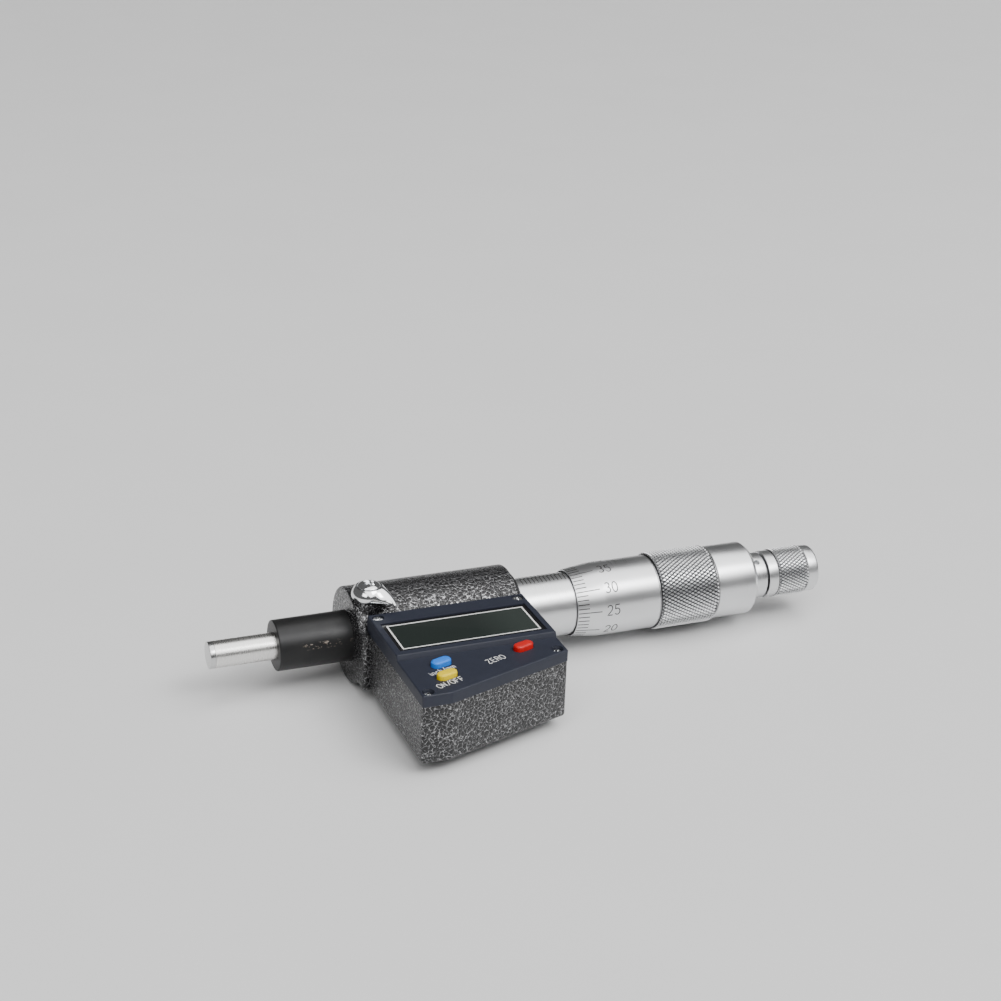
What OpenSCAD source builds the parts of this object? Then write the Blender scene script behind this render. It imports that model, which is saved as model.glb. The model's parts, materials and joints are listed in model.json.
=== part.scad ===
// Electronic measuring head of an outside micrometer: stem, spindle, thimble,
// ratchet stop and display housing. Millimetres.
// +X runs along the spindle from its measuring face to the ratchet, +Z leaves the
// display face, and the origin is on the spindle axis where the stem meets the housing.

/* [Spindle and stem] */
// Diameter of the ground spindle
spindle_d = 6.35; // [6:0.05:8]
// Diameter of the plain mounting stem
stem_d = 12; // [9.5:0.5:14]
// Length of stem that stands out of the housing
stem_len = 17.5; // [12:0.5:25]
// Spindle length beyond the stem face at a reading of zero
reach_at_zero = 27.377; // [26:0.001:30]
// Thickness of the hard measuring tip
tip_len = 1.2; // [0.8:0.1:2]
// Measuring range
travel = 25; // [25:1:25]
// Reading that the head is drawn at
reading = 11.877; // [0:0.001:25]

/* [Thimble and sleeve] */
// Outer diameter of the graduated sleeve
sleeve_d = 15.2; // [14:0.1:16]
// Outer diameter of the plain part of the thimble
thimble_d = 18; // [17:0.1:19]
// Diameter of the thimble's front edge, before its taper
thimble_front_d = 16.3; // [16:0.1:17]
// Length of the thimble's front taper
thimble_taper = 7; // [5:0.5:9]
// Overall length of the thimble
thimble_len = 48.5; // [45:0.5:52]
// Outer diameter of the knurled band
knurl_d = 19; // [18:0.1:20]
// Distance from the thimble's front edge to the knurled band
knurl_at = 21.9; // [18:0.1:26]
// Width of the knurled band
knurl_w = 15.4; // [10:0.1:20]

/* [Ratchet stop] */
// Diameter of the neck behind the thimble
neck_d = 11.4; // [10:0.1:13]
// Length of the neck
neck_len = 4.2; // [3:0.1:6]
// Outer diameter of the ratchet knob
knob_d = 12.2; // [10:0.1:14]
// Length of the ratchet knob
knob_len = 14; // [12:0.5:18]

/* [Housing] */
// Outer diameter of the housing's barrel
barrel_d = 23; // [22:0.5:26]
// Length of the barrel
barrel_len = 40; // [38:1:44]
// Depth of the box from the spindle axis to its front wall
box_front = 47.8; // [44:0.1:52]
// Distance of the slanted front wall from the axis at the right end
box_front_right = 37.5; // [34:0.1:44]
// Height of the display face above the spindle axis
face_z = 9.5; // [8:0.1:11]
// Drop from the display face to the button deck
deck_drop = 1.2; // [0.8:0.1:2]
// Height of the cover's side wall below the button deck
cover_skirt = 2.7; // [2:0.1:4]
// Level of the underside of the box
box_bottom = -8.5; // [-11:0.5:-7]
// Wall thickness of the casting
wall = 1.7; // [1.4:0.1:2.5]

/* [Display and buttons] */
// Length of the display window
window_w = 35; // [30:0.5:36]
// Width of the display window
window_h = 13.7; // [11:0.1:15]
// Length of each button
button_w = 5; // [4:0.1:7]
// Width of each button
button_h = 2.6; // [2.4:0.1:4]
// Height of the buttons above their deck
button_up = 1.3; // [0.6:0.1:1.5]
// How far a button travels when pressed
button_travel = 0.6; // [0.4:0.1:1]

/* [Lock] */
// Radius of the lock lever's round cap
lock_cap_r = 4.1; // [3.5:0.05:5]
// Length of the lever's tail from its pivot
lock_tail = 8; // [6:0.1:10]
// Direction of the tail, in degrees from +X
lock_angle = -53; // [-60:1:0]

/* [Fits] */
// Radial clearance of the spindle in its bores
fit_spindle = 0.035; // [0.02:0.005:0.06]
// Radial clearance of the other running fits
fit_run = 0.05; // [0.03:0.01:0.09]
// Gap between parts that only stand side by side
gap = 0.02; // [0.01:0.01:0.1]

/* [Hidden] */
$fn = 96;
eps = 0.01;
sp_r = spindle_d / 2;
stem_r = stem_d / 2;
tip_x = -(stem_len + reach_at_zero - reading);
sleeve_r = sleeve_d / 2;
scale_zero_x = 43.623;
th_x = scale_zero_x + reading;
th_end = th_x + thimble_len;
th_r = thimble_d / 2;
th_cavity_end = th_x + 32.5;
barrel_r = barrel_d / 2;
chamber_r = 8.8;
deck_z = face_z - deck_drop;
split_z = deck_z - cover_skirt;
x_l = 1.8;
x_r = 39.9;
y_back = -9.8;
y_step = -30.7;
win_x0 = 3.35;
win_y1 = -14.9;
screw_pos = [[3.8, -11.6], [38, -11.6], [3.6, -46], [37.8, -36.1]];
units_xy = [10.5, -35.1];
power_xy = [9.85, -40.75];
zero_xy = [30.6, -33.55];
lock_xy = [3.9, -4.75];
boss_z = 11.05;
lock_z = 11.4;
cell_xy = [24, -27];
cell_r = 5.8;
neck_x1 = th_end + neck_len;
knob_x0 = neck_x1 + 0.5;
knob_x1 = knob_x0 + knob_len;
thread_r = 3.08;
thread_x = scale_zero_x + reading - 12;
nut_x = 57;
corner_x = 8.7;
front_lean = atan((box_front - box_front_right) / (x_r - corner_x));
stem_seat_r = 5.2;
stem_seat_x = 9.9;
floor_t = 1.8;
bay_y = -11.8;
board_z = 2;
board_t = 1.6;
pane_z = 8.1;
post_r = 2.1;
head_r = 1.3;
head_h = 0.78;
screw_r = 0.8;
boss_r = 3.3;
pin_r = 1.5;
pin_z = -6;
lever_top = 3.05;
dome_r = 2.7;
grub_x = 35.8;
grub_r = 1.25;
tube_r = 5.6;
tube_x = 39.5;
ring_r = 9.9;
door_r = 7;
seal_r = 6.3;
hub_r = 5;
clip_x = 22.6;
clip_w = 0.8;
clip_seat_r = 4.4;
drive_x = 20;
drive_r = 0.75;
seat_r = 3.95;
plug_r = 4.3;
plug_len = 4.4;
rod_r = 2;
knob_bore = 3.7;
wheel_bore = 4.7;

// ---- helpers ----

// solid of revolution about X from x0 to x1
module xcyl(x0, x1, r) {
  translate([x0, 0, 0]) rotate([0, 90, 0]) cylinder(h = x1 - x0, r = r);
}

module xcone(x0, x1, r0, r1) {
  translate([x0, 0, 0]) rotate([0, 90, 0]) cylinder(h = x1 - x0, r1 = r0, r2 = r1);
}

module xtube(x0, x1, r, bore) {
  difference() {
    xcyl(x0, x1, r);
    xcyl(x0 - 1, x1 + 1, bore);
  }
}

module zcyl(p, z0, z1, r) {
  translate([p[0], p[1], z0]) cylinder(h = z1 - z0, r = r);
}

module box(x0, x1, y0, y1, z0, z1) {
  translate([x0, y0, z0]) cube([x1 - x0, y1 - y0, z1 - z0]);
}

// upright pill with round ends, parallel to the slanted front wall
module pill(p, w, h, z0, z1) translate([p[0], p[1], 0]) rotate([0, 0, front_lean]) {
  zcyl([-(w - h) / 2, 0], z0, z1, h / 2);
  zcyl([(w - h) / 2, 0], z0, z1, h / 2);
  box(-(w - h) / 2, (w - h) / 2, -h / 2, h / 2, z0, z1);
}

// plan outline of the box and its cover, shrunk by d on every side
module plan(d, y_top = y_back) {
  s = (box_front - box_front_right) / (x_r - corner_x);
  k = d * sqrt(1 + s * s);
  polygon([
    [x_l + d, y_top - d],
    [x_r - d, y_top - d],
    [x_r - d, -box_front_right + s * d * -1 + k],
    [corner_x + (k - d) / s, -box_front + d],
    [x_l + d, -box_front + d]
  ]);
}

// arc of radius r centred on c, for outlines that are revolved
function arc(c, r, a0, a1, n = 8) =
  [for (i = [0:n]) c + r * [cos(a0 + (a1 - a0) * i / n), sin(a0 + (a1 - a0) * i / n)]];

// ---- housing ----

// painted casting: barrel, box below the cover, and the lock's boss
module casting() color([0.07, 0.07, 0.075]) difference() {
  union() {
    xcyl(0, barrel_len, barrel_r);
    box(0, barrel_len - 0.1, -13, 0, box_bottom, split_z);
    translate([0, 0, box_bottom]) linear_extrude(split_z - box_bottom) plan(0);
    zcyl(lock_xy, 6, boss_z, boss_r);
  }
  // bore for the stem, then the encoder chamber
  xcyl(-1, 12, stem_seat_r);
  xcyl(10, barrel_len + 1, chamber_r);
  // electronics bay, left solid round the two front screws
  difference() {
    translate([0, 0, box_bottom + floor_t]) linear_extrude(30) plan(wall, bay_y);
    zcyl(screw_pos[2], -20, 30, post_r);
    zcyl(screw_pos[3], -20, 30, post_r);
  }
  // passage for the encoder's lead
  box(11, 12.8, -14, -6, -2.5, 2.5);
  // battery door
  zcyl(cell_xy, box_bottom - 1, 0, door_r + fit_run);
  // seat of the cover, and spot face round the lock's boss
  translate([0, 0, split_z]) linear_extrude(20) plan(-0.03);
  zcyl(lock_xy, boss_z, 20, 4.6);
  // lock pin, grub screw and cover screws
  zcyl(lock_xy, pin_z - 0.05, 20, pin_r + fit_run);
  zcyl([grub_x, 0], -20, 0, grub_r + gap);
  for (p = screw_pos) zcyl(p, split_z - 6, split_z + 10, screw_r + gap);
}

// mounting stem, with the spindle's front bearing; its thinner end sits in the casting
module stem() color([0.1, 0.1, 0.1]) difference() {
  union() {
    xcone(-stem_len, -stem_len + 0.5, stem_r - 0.5, stem_r);
    xcyl(-stem_len + 0.5, 0, stem_r);
    xcyl(-eps, stem_seat_x, stem_seat_r - gap);
  }
  xcyl(-stem_len - 1, stem_seat_x + 1, sp_r + fit_spindle);
  zcyl(lock_xy, -20, 20, pin_r + fit_run);
}

// inner sleeve: flange in the casting, long tube, and the spindle nut at its rear end
module thread_sleeve() color([0.62, 0.63, 0.65]) difference() {
  union() {
    xcyl(31.6, tube_x, chamber_r - gap);
    xcyl(tube_x - 0.1, 75, tube_r);
  }
  xcyl(31, nut_x, 3.6);
  xcyl(nut_x - eps, 76, thread_r + fit_run);
  zcyl([grub_x, 0], -20, -7.6, grub_r + gap);
}

// outer sleeve that carries the millimetre scale
module graduated_sleeve() color([0.78, 0.79, 0.8])
  xtube(tube_x + gap, scale_zero_x + travel + 1.16, sleeve_r, tube_r + gap);

// thin ring between casting and sleeve
module collar_ring() color([0.3, 0.3, 0.32]) difference() {
  union() {
    xcyl(barrel_len + gap, barrel_len + 0.9, ring_r);
    xcone(barrel_len + 0.9, barrel_len + 1.3, ring_r, ring_r - 0.4);
  }
  xcyl(barrel_len - 1, barrel_len + 2, sleeve_r + gap);
}

// nut that sets the play of the spindle thread
module adjusting_nut() color([0.6, 0.61, 0.63]) difference() {
  xcyl(70, 74.6, 7.1);
  xcyl(69, 76, tube_r + gap);
  for (a = [0:90:270]) rotate([a, 0, 0]) box(72.8, 75, 6.3, 8, -0.7, 0.7);
}

// screw that holds the inner sleeve in the casting
module sleeve_grub_screw() color([0.35, 0.35, 0.37]) difference() {
  zcyl([grub_x, 0], -11.2, -7.8, grub_r);
  zcyl([grub_x, 0], -12, -10.2, grub_r / 2);
}

// plastic cover: raised display section and lower button deck
module cover() color([0.18, 0.2, 0.26]) difference() {
  union() {
    translate([0, 0, split_z]) linear_extrude(deck_z - split_z) plan(0);
    difference() {
      translate([0, 0, deck_z - eps]) linear_extrude(deck_drop + eps) plan(0);
      box(0, 50, -60, y_step, 0, 20);
    }
  }
  // hollow underside, in two levels
  difference() {
    translate([0, 0, split_z - 1]) linear_extrude(deck_z - split_z - 0.4) plan(1.4);
    for (p = screw_pos) zcyl(p, 0, 20, post_r);
  }
  box(win_x0 - 0.05, win_x0 + window_w + 0.05, win_y1 - window_h - 0.05,
    win_y1 + 0.05, 5, 20);
  // button openings
  for (p = [units_xy, power_xy, zero_xy])
    pill(p, button_w + 0.3, button_h + 0.3, 0, 20);
  // seats of the corner screws
  for (p = screw_pos) zcyl(p, 0, 20, screw_r + gap);
  for (i = [0:3])
    zcyl(screw_pos[i], screw_top(i) - head_h - gap, 20, head_r + gap);
}

// clear pane over the display
module lcd_window() color([0.12, 0.14, 0.13, 0.5])
  box(win_x0, win_x0 + window_w, win_y1 - window_h, win_y1, pane_z, face_z - 0.25);

// liquid-crystal glass sandwich
module lcd_module() color([0.42, 0.46, 0.4])
  box(4.2, 37.5, -27.9, -15.6, 5.3, 7.4);

// plastic frame that holds the glass above the board
module lcd_holder() color([0.08, 0.08, 0.09]) difference() {
  box(3.5, 38.2, -28.5, -15, 3.7, 8);
  box(4.15, 37.55, -27.95, -15.55, 5.25, 9);
  box(5, 36.7, -27.3, -16.2, 3, 6);
}

// elastic strips that join the glass to the board
module contact_strip_front() color([0.75, 0.5, 0.6])
  box(5.2, 36.5, -27.2, -26, 3.65, 5.28);

module contact_strip_rear() color([0.75, 0.5, 0.6])
  box(5.2, 36.5, -17.5, -16.3, 3.65, 5.28);

// circuit board, cut round the screw bosses
module circuit_board() color([0.1, 0.32, 0.16]) difference() {
  translate([0, 0, board_z]) linear_extrude(board_t) plan(wall + 0.3, bay_y);
  zcyl(screw_pos[2], 0, 5, post_r + 0.3);
  zcyl(screw_pos[3], 0, 5, post_r + 0.3);
}

// measuring chip under the board
module processor() color([0.06, 0.06, 0.06]) difference() {
  box(8, 15, -41, -34, 0.6, board_z - gap);
  zcyl([9, -40], 0, 0.75, 0.4);
}

// rubber mat with one dome under each button
module key_mat() color([0.35, 0.36, 0.38]) union() {
  box(6.5, 15, -43.6, -33.4, 3.62, 4.3);
  box(27.2, 34.6, -36.2, -31.9, 3.62, 4.3);
  for (p = [units_xy, power_xy, zero_xy])
    translate([p[0], p[1], 4.29]) cylinder(h = 1, r1 = 1.5, r2 = 1.1);
}

// ---- encoder ----

// washer that sets the fixed plate's distance from the casting
module encoder_spacer() color([0.7, 0.7, 0.68])
  xtube(10.02, 10.98, chamber_r - gap, 6.4);

// fixed encoder plate
module encoder_stator() color([0.16, 0.4, 0.24]) difference() {
  xcyl(11, 12.6, chamber_r - gap);
  xcyl(10, 14, 3.9);
}

// flat lead from the fixed plate to the board
module flex_lead() color([0.7, 0.45, 0.12]) union() {
  box(11.6, 12, -13.9, -8.85, -2, 2);
  box(11.6, 12, -13.9, -13.6, -2, board_z - gap);
}

// bearing of the turning plate's hub
module rotor_bush() color([0.7, 0.55, 0.25])
  xtube(17, 22, chamber_r - gap, hub_r + fit_run);

// turning encoder plate on its hub
module encoder_rotor() color([0.18, 0.42, 0.26]) difference() {
  union() {
    xcyl(13.2, 14.4, 8.2);
    xcyl(14.3, 24.2, hub_r);
    xcyl(14.3, 16.8, hub_r + 0.8);
  }
  xcyl(12, 26, sp_r + fit_spindle);
  // seat of the clip
  difference() {
    xcyl(clip_x, clip_x + clip_w, hub_r + 1);
    xcyl(clip_x - 1, clip_x + 2, clip_seat_r);
  }
  zcyl([drive_x, 0], 0, 10, drive_r + gap / 2);
}

// pin in the hub that runs in the spindle's keyway
module drive_pin() color([0.7, 0.7, 0.72])
  zcyl([drive_x, 0], 2.5, 4.9, drive_r);

// clip that keeps the hub in its bush
module rotor_clip() color([0.4, 0.4, 0.42]) difference() {
  xcyl(clip_x + gap, clip_x + clip_w - gap, 6.6);
  xcyl(clip_x - 1, clip_x + 2, clip_seat_r + gap);
  box(clip_x - 1, clip_x + 2, -9, -4, -1.2, 1.2);
}

// ---- power ----

// button cell
module battery_cell() color([0.75, 0.75, 0.76])
  zcyl(cell_xy, -6.2, -0.8, cell_r);

// leaf on the board that presses on the cell's inner face
module battery_spring() color([0.8, 0.68, 0.35]) union() {
  zcyl(cell_xy, -0.78, -0.4, 2.2);
  zcyl(cell_xy, -0.5, board_z - gap, 0.9);
}

// clip against the cell's rim
module battery_clip() color([0.8, 0.68, 0.35]) union() {
  box(cell_xy[0] + cell_r + 0.05, cell_xy[0] + cell_r + 0.4,
    cell_xy[1] - 2, cell_xy[1] + 2, -4.5, board_z - gap);
  box(cell_xy[0] + cell_r + 0.3, cell_xy[0] + cell_r + 2,
    cell_xy[1] - 2, cell_xy[1] + 2, 1.6, board_z - gap);
}

// battery door with a coin slot
module battery_cap() color([0.1, 0.1, 0.11]) difference() {
  union() {
    zcyl(cell_xy, box_bottom + 0.05, -6.75, door_r);
    zcyl(cell_xy, -6.8, -6.3, door_r - 1);
  }
  box(cell_xy[0] - 5, cell_xy[0] + 5, cell_xy[1] - 0.6, cell_xy[1] + 0.6, -12, -7.5);
  // groove of the seal
  difference() {
    zcyl(cell_xy, -7.9, -7.2, door_r + 1);
    zcyl(cell_xy, -8, -7, seal_r);
  }
}

// rubber ring in the door's groove
module battery_cap_seal() color([0.05, 0.05, 0.05]) difference() {
  zcyl(cell_xy, -7.86, -7.24, door_r - gap);
  zcyl(cell_xy, -8, -7, seal_r + gap);
}

// ---- fasteners ----

// level of a corner screw's head: near the display face, or sunk in the button deck
function screw_top(i) = i < 2 ? face_z - 0.15 : deck_z - 0.55;

// small cross-recess screw
module cover_screw(i) {
  top = screw_top(i);
  p = screw_pos[i];
  color([0.8, 0.8, 0.82]) difference() {
    union() {
      zcyl(p, top - head_h, top, head_r);
      zcyl(p, split_z - 5.5, top - head_h + 0.03, screw_r);
    }
    box(p[0] - 0.8, p[0] + 0.8, p[1] - 0.16, p[1] + 0.16, top - 0.4, top + 1);
    box(p[0] - 0.16, p[0] + 0.16, p[1] - 0.8, p[1] + 0.8, top - 0.4, top + 1);
  }
}

module cover_screw_1() cover_screw(0);
module cover_screw_2() cover_screw(1);
module cover_screw_3() cover_screw(2);
module cover_screw_4() cover_screw(3);

// ---- spindle and thimble ----

// ground spindle: measuring end, keyway, thread and the seat of the thimble
module spindle() color([0.8, 0.81, 0.82]) difference() {
  union() {
    xcyl(tip_x + tip_len + gap, thread_x, sp_r);
    xcyl(thread_x - eps, th_cavity_end, thread_r);
    xcyl(th_cavity_end - eps, th_end - plug_len - 0.1, seat_r);
  }
  box(5, 34.2, -0.8, 0.8, 2.4, 5);
  xcyl(th_end - 12, th_end, rod_r + gap);
}

// hard-metal measuring face
module measuring_tip() color([0.45, 0.46, 0.48]) union() {
  xcyl(tip_x + 0.15, tip_x + tip_len, sp_r);
  xcone(tip_x, tip_x + 0.15, sp_r - 0.15, sp_r);
}

// thimble: tapered front edge, raised knurled band, chamfered rear edge
module thimble() color([0.8, 0.81, 0.82]) difference() {
  union() {
    xcone(th_x, th_x + thimble_taper, thimble_front_d / 2, th_r);
    xcyl(th_x + thimble_taper - eps, th_end - 1, th_r);
    xcone(th_x + knurl_at, th_x + knurl_at + 0.5, th_r, knurl_d / 2);
    xcyl(th_x + knurl_at + 0.5, th_x + knurl_at + knurl_w - 0.5, knurl_d / 2);
    xcone(th_x + knurl_at + knurl_w - 0.5, th_x + knurl_at + knurl_w,
      knurl_d / 2, th_r);
    xcone(th_end - 1, th_end, th_r, th_r - 0.8);
  }
  xcyl(th_x - 1, th_cavity_end, sleeve_r + 0.12);
  xcyl(th_x, th_end + 1, seat_r + gap);
  xcyl(th_end - plug_len, th_end + 1, plug_r + gap);
}

// ---- ratchet stop ----

// neck that clamps the thimble on the spindle and carries the knob
module ratchet_neck() color([0.78, 0.79, 0.8]) difference() {
  union() {
    xcyl(th_end + gap, neck_x1, neck_d / 2);
    xcyl(th_end - plug_len + 0.1, th_end + 0.1, plug_r);
    xcyl(th_end - 11.5, neck_x1 + 7.5, rod_r);
  }
  // spanner hole
  rotate([-60, 0, 0]) translate([th_end + 2.1, -3.4, 0]) rotate([90, 0, 0])
    cylinder(h = 4, r = 0.6);
  xcyl(neck_x1 + 2.5, neck_x1 + 9, 1 + gap);
}

// toothed wheel pressed on the neck
module ratchet_wheel() color([0.6, 0.6, 0.62]) difference() {
  union() {
    xcyl(neck_x1 + 0.9, neck_x1 + 3.6, 3.3);
    for (a = [0:30:330]) rotate([a, 0, 0])
      box(neck_x1 + 0.9, neck_x1 + 3.6, 3, 3.75, -0.35, 0.35);
  }
  xcyl(neck_x1, neck_x1 + 5, rod_r + gap);
}

// screw that keeps the knob on the neck
module ratchet_screw() color([0.5, 0.5, 0.52]) difference() {
  union() {
    xcyl(neck_x1 + 3, neck_x1 + 7.6, 1);
    xcyl(neck_x1 + 7.55, neck_x1 + 9, 3.2);
  }
  box(neck_x1 + 8.4, neck_x1 + 10, -4, 4, -0.35, 0.35);
}

// knurled knob, plain at both ends
module ratchet_knob() color([0.76, 0.77, 0.78]) difference() {
  union() {
    xcyl(knob_x0, knob_x1 - 3, knob_d / 2);
    xcyl(knob_x1 - 3.1, knob_x1 - 0.8, knob_d / 2 - 0.25);
    translate([knob_x1 - 0.8, 0, 0]) rotate([0, 90, 0]) rotate_extrude()
      polygon(concat([[0, 0]], arc([knob_d / 2 - 1.05, 0], 0.8, 0, 90), [[0, 0.8]]));
  }
  xcyl(knob_x0 - 1, neck_x1 + 4.4, wheel_bore);
  xcyl(knob_x0, knob_x1 + 1, rod_r + fit_run);
  xcyl(neck_x1 + 7.4, knob_x1 + 1, knob_bore);
}

// spring ring in the knob that clicks over the wheel's teeth
module ratchet_spring() color([0.5, 0.5, 0.55]) difference() {
  xtube(neck_x1 + 1, neck_x1 + 3.5, wheel_bore - 0.05, 4.2);
  box(neck_x1, neck_x1 + 5, 3, 6, -1, 1);
}

// plug in the end of the knob
module ratchet_end_cap() color([0.7, 0.71, 0.72])
  xcyl(knob_x1 - 1.6, knob_x1 - 0.1, knob_bore - gap);

// ---- lock ----

// chromed lever: round cap that narrows upward, with a drop-shaped tail
module lock_lever() color([0.85, 0.86, 0.88]) difference() {
  translate([lock_xy[0], lock_xy[1], lock_z]) union() {
    rotate_extrude()
      polygon(concat(
        [[0, 0], [lock_cap_r - 0.4, 0], [lock_cap_r - 0.1, 0.35], [lock_cap_r, 0.95]],
        [for (t = [0.125:0.125:1])
          [lock_cap_r - pow(t, 1.8), 0.95 + (lever_top - 0.95) * t]],
        [[0, lever_top]]));
    rotate([0, 0, lock_angle]) hull() {
      cylinder(h = 1.6, r = 3.2, $fn = 40);
      translate([0, 0, 1.6]) cylinder(h = 1.2, r1 = 2.9, r2 = 1.9, $fn = 40);
      translate([lock_tail - 0.5, 0, 0.1]) cylinder(h = 0.6, r = 0.45, $fn = 24);
    }
  }
  zcyl(lock_xy, lock_z - 1, lock_z + 2.5, pin_r + gap);
  zcyl(lock_xy, lock_z, lock_z + 5, screw_r + gap);
}

// cam pin beside the spindle
module lock_pin() color([0.6, 0.6, 0.62]) difference() {
  zcyl(lock_xy, pin_z, lock_z + 2.5 - gap, pin_r);
  zcyl(lock_xy, lock_z, lock_z + 5, screw_r + gap);
}

// domed cross-recess screw on top of the lever
module lock_screw() color([0.75, 0.75, 0.77]) translate([lock_xy[0], lock_xy[1], lock_z])
  difference() {
    union() {
      translate([0, 0, 0.5]) cylinder(h = 2.6, r = screw_r);
      rotate_extrude()
        polygon(concat(
          [[0, lever_top + gap], [dome_r, lever_top + gap]],
          [for (a = [0:10:80]) [dome_r * cos(a), 3.25 + 0.66 * sin(a)]],
          [[0, 3.91]]));
    }
    for (a = [0, 90]) rotate([0, 0, a]) box(-2, 2, -0.35, 0.35, 3.5, 5);
  }

// spring washer under the lever
module lock_washer() color([0.5, 0.5, 0.5]) difference() {
  zcyl(lock_xy, boss_z + gap, lock_z - 0.07, 2.9);
  zcyl(lock_xy, 10, 12, pin_r + fit_run);
}

// ---- buttons ----

// push button with the flange that keeps it under the deck
module push_button(p, c) color(c) {
  pill(p, button_w, button_h, 5.95, deck_z + button_up - 0.4);
  pill(p, button_w - 0.5, button_h - 0.5, 6.4, deck_z + button_up);
  pill(p, button_w + 0.9, button_h + 0.9, 5.95, 6.65);
}

module units_button() push_button(units_xy, [0.16, 0.5, 0.85]);
module power_button() push_button(power_xy, [0.92, 0.8, 0.1]);
module zero_button() push_button(zero_xy, [0.85, 0.1, 0.08]);

casting();
stem();
thread_sleeve();
graduated_sleeve();
collar_ring();
adjusting_nut();
sleeve_grub_screw();
cover();
lcd_window();
lcd_module();
lcd_holder();
contact_strip_front();
contact_strip_rear();
circuit_board();
processor();
key_mat();
encoder_spacer();
encoder_stator();
flex_lead();
rotor_bush();
battery_cell();
battery_spring();
battery_clip();
cover_screw_1();
cover_screw_2();
cover_screw_3();
cover_screw_4();
lock_washer();
encoder_rotor();
drive_pin();
rotor_clip();
spindle();
measuring_tip();
thimble();
ratchet_neck();
ratchet_wheel();
ratchet_screw();
ratchet_knob();
ratchet_spring();
ratchet_end_cap();
lock_lever();
lock_pin();
lock_screw();
units_button();
power_button();
zero_button();
battery_cap();
battery_cap_seal();
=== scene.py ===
import json
import math

import bmesh
import bpy
from mathutils import Matrix, Vector


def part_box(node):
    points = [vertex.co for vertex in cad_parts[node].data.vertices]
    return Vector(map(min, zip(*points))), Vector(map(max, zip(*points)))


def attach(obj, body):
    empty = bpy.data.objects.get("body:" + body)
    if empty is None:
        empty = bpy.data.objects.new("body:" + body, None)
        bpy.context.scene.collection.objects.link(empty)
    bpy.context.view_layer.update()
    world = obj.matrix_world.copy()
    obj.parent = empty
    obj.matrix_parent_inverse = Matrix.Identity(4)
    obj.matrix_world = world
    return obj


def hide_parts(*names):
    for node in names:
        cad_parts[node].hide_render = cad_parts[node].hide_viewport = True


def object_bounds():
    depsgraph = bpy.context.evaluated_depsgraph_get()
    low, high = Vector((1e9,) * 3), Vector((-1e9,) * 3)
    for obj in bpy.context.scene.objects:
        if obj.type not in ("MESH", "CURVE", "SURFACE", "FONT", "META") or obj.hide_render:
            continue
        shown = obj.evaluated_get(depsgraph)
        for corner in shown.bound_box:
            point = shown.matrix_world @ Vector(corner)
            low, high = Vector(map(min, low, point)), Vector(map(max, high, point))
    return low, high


# Electronic outside micrometer head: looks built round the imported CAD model.
# Shapes are worked out in millimetres and scaled to metres when a piece is made.

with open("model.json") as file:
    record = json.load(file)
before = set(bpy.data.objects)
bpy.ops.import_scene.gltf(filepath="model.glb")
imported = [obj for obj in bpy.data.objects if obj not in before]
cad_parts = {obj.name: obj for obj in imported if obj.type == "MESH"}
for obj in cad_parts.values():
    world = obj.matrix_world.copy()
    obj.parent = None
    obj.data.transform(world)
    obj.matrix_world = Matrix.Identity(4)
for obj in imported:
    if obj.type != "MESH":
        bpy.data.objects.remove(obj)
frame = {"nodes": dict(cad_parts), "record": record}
cad_low, cad_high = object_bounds()
record = frame["record"]
MM = 0.001
BODY_OF = {n: body for body, nodes in record["behaviour"]["bodies"].items() for n in nodes}


def span(node):
    """Lowest and highest corner of a CAD node, in millimetres."""
    low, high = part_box(node)
    return low / MM, high / MM


# ---- driving sizes, read from the frame ----

STEM_LOW, STEM_HIGH = span("stem")
STEM_R = STEM_HIGH.z
TIP_LOW, TIP_HIGH = span("measuring_tip")
SPINDLE_R = TIP_HIGH.z
BARREL_R = span("casting")[1].y
SLEEVE_LOW, SLEEVE_HIGH = span("graduated_sleeve")
SLEEVE_R = SLEEVE_HIGH.z
RING_LOW, RING_HIGH = span("collar_ring")
THIMBLE_LOW, THIMBLE_HIGH = span("thimble")
COVER_LOW, COVER_HIGH = span("cover")
WINDOW_LOW, WINDOW_HIGH = span("lcd_window")
NECK_R = span("ratchet_neck")[1].z
KNOB_LOW, KNOB_HIGH = span("ratchet_knob")
LEVER_BASE = span("lock_lever")[0].z
PIN_LOW, PIN_HIGH = span("lock_pin")
LOCK_X, LOCK_Y = (PIN_LOW.x + PIN_HIGH.x) / 2, (PIN_LOW.y + PIN_HIGH.y) / 2
DOOR_LOW, DOOR_HIGH = span("battery_cap")
BUTTONS = ("units_button", "power_button", "zero_button")
# the slanted front wall of the display box
FRONT_CORNER_X = 8.7
FRONT_RIGHT_Y = -37.5
FRONT_LEAN = math.atan2(FRONT_RIGHT_Y - COVER_LOW.y, COVER_HIGH.x - FRONT_CORNER_X)

# ---- general shape tools ----


def fillet(points, steps=4, closed=False):
    """Rounds each corner of a line of (u, v) or (u, v, radius) points."""
    out = []
    count = len(points)
    for i, p in enumerate(points):
        radius = p[2] if len(p) > 2 else 0
        here = Vector(p[:2])
        if radius == 0 or (not closed and i in (0, count - 1)):
            out.append(tuple(here))
            continue
        back = Vector(points[i - 1][:2]) - here
        ahead = Vector(points[(i + 1) % count][:2]) - here
        reach = radius / math.tan(back.angle(ahead) / 2)
        a = here + back.normalized() * min(reach, back.length / 2)
        b = here + ahead.normalized() * min(reach, ahead.length / 2)
        for k in range(steps + 1):
            t = k / steps
            out.append(tuple(a * (1 - t) ** 2 + here * 2 * t * (1 - t) + b * t * t))
    return out


HARD_EDGE_DEG = 30.0


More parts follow.
